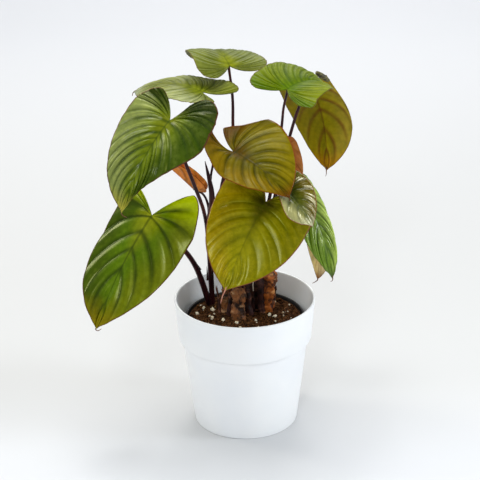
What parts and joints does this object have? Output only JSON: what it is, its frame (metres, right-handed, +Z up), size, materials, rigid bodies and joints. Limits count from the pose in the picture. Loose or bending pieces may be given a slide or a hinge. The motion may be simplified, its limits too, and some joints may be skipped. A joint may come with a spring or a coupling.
{
  "type": "potted homalomena",
  "caption": "Potted homalomena with quilted heart-shaped leaves on dark petioles, rooted in a nursery pot inside a white collared cover pot.",
  "frame": {"origin": "centre of the cover pot's underside, on the surface it stands on", "axes": "+Z up along the pot's axis; -Y is the front, +X is to the right seen from the front"},
  "size_m": [0.2838, 0.2297, 0.401],
  "materials": {
    "outer_pot": "matte",
    "grow_pot": "satin",
    "soil": "matte",
    "bark_brown": "matte",
    "bark_orange": "matte",
    "bark_dark": "matte",
    "petiole": "satin",
    "leaf_top": "satin",
    "leaf_upper_right": "satin",
    "leaf_far_right": "satin",
    "leaf_upper_left": "satin",
    "leaf_centre": "satin",
    "leaf_left": "satin",
    "leaf_front": "satin",
    "leaf_folded": "satin",
    "leaf_right": "satin",
    "leaf_withered": "satin",
    "leaf_lower_left": "satin",
    "leaf_young": "satin"
  },
  "bodies": {
    "root": {"outer_pot": "outer_pot", "grow_pot": "grow_pot", "soil": "soil", "stump_left": "bark_brown", "stump_middle": "bark_brown", "stump_back": "bark_dark", "stump_right": "bark_orange", "stems_left": "petiole", "stems_centre": "petiole", "stems_front": "petiole", "stems_back": "petiole", "stems_right": "petiole", "blade_top": "leaf_top", "blade_upper_right": "leaf_upper_right", "blade_far_right": "leaf_far_right", "blade_upper_left": "leaf_upper_left", "blade_centre": "leaf_centre", "blade_left": "leaf_left", "blade_front": "leaf_front", "blade_folded": "leaf_folded", "blade_right": "leaf_right", "blade_withered": "leaf_withered", "blade_lower_left": "leaf_lower_left", "blade_young_left": "leaf_young", "blade_young_right": "leaf_young"}
  },
  "joints": []
}
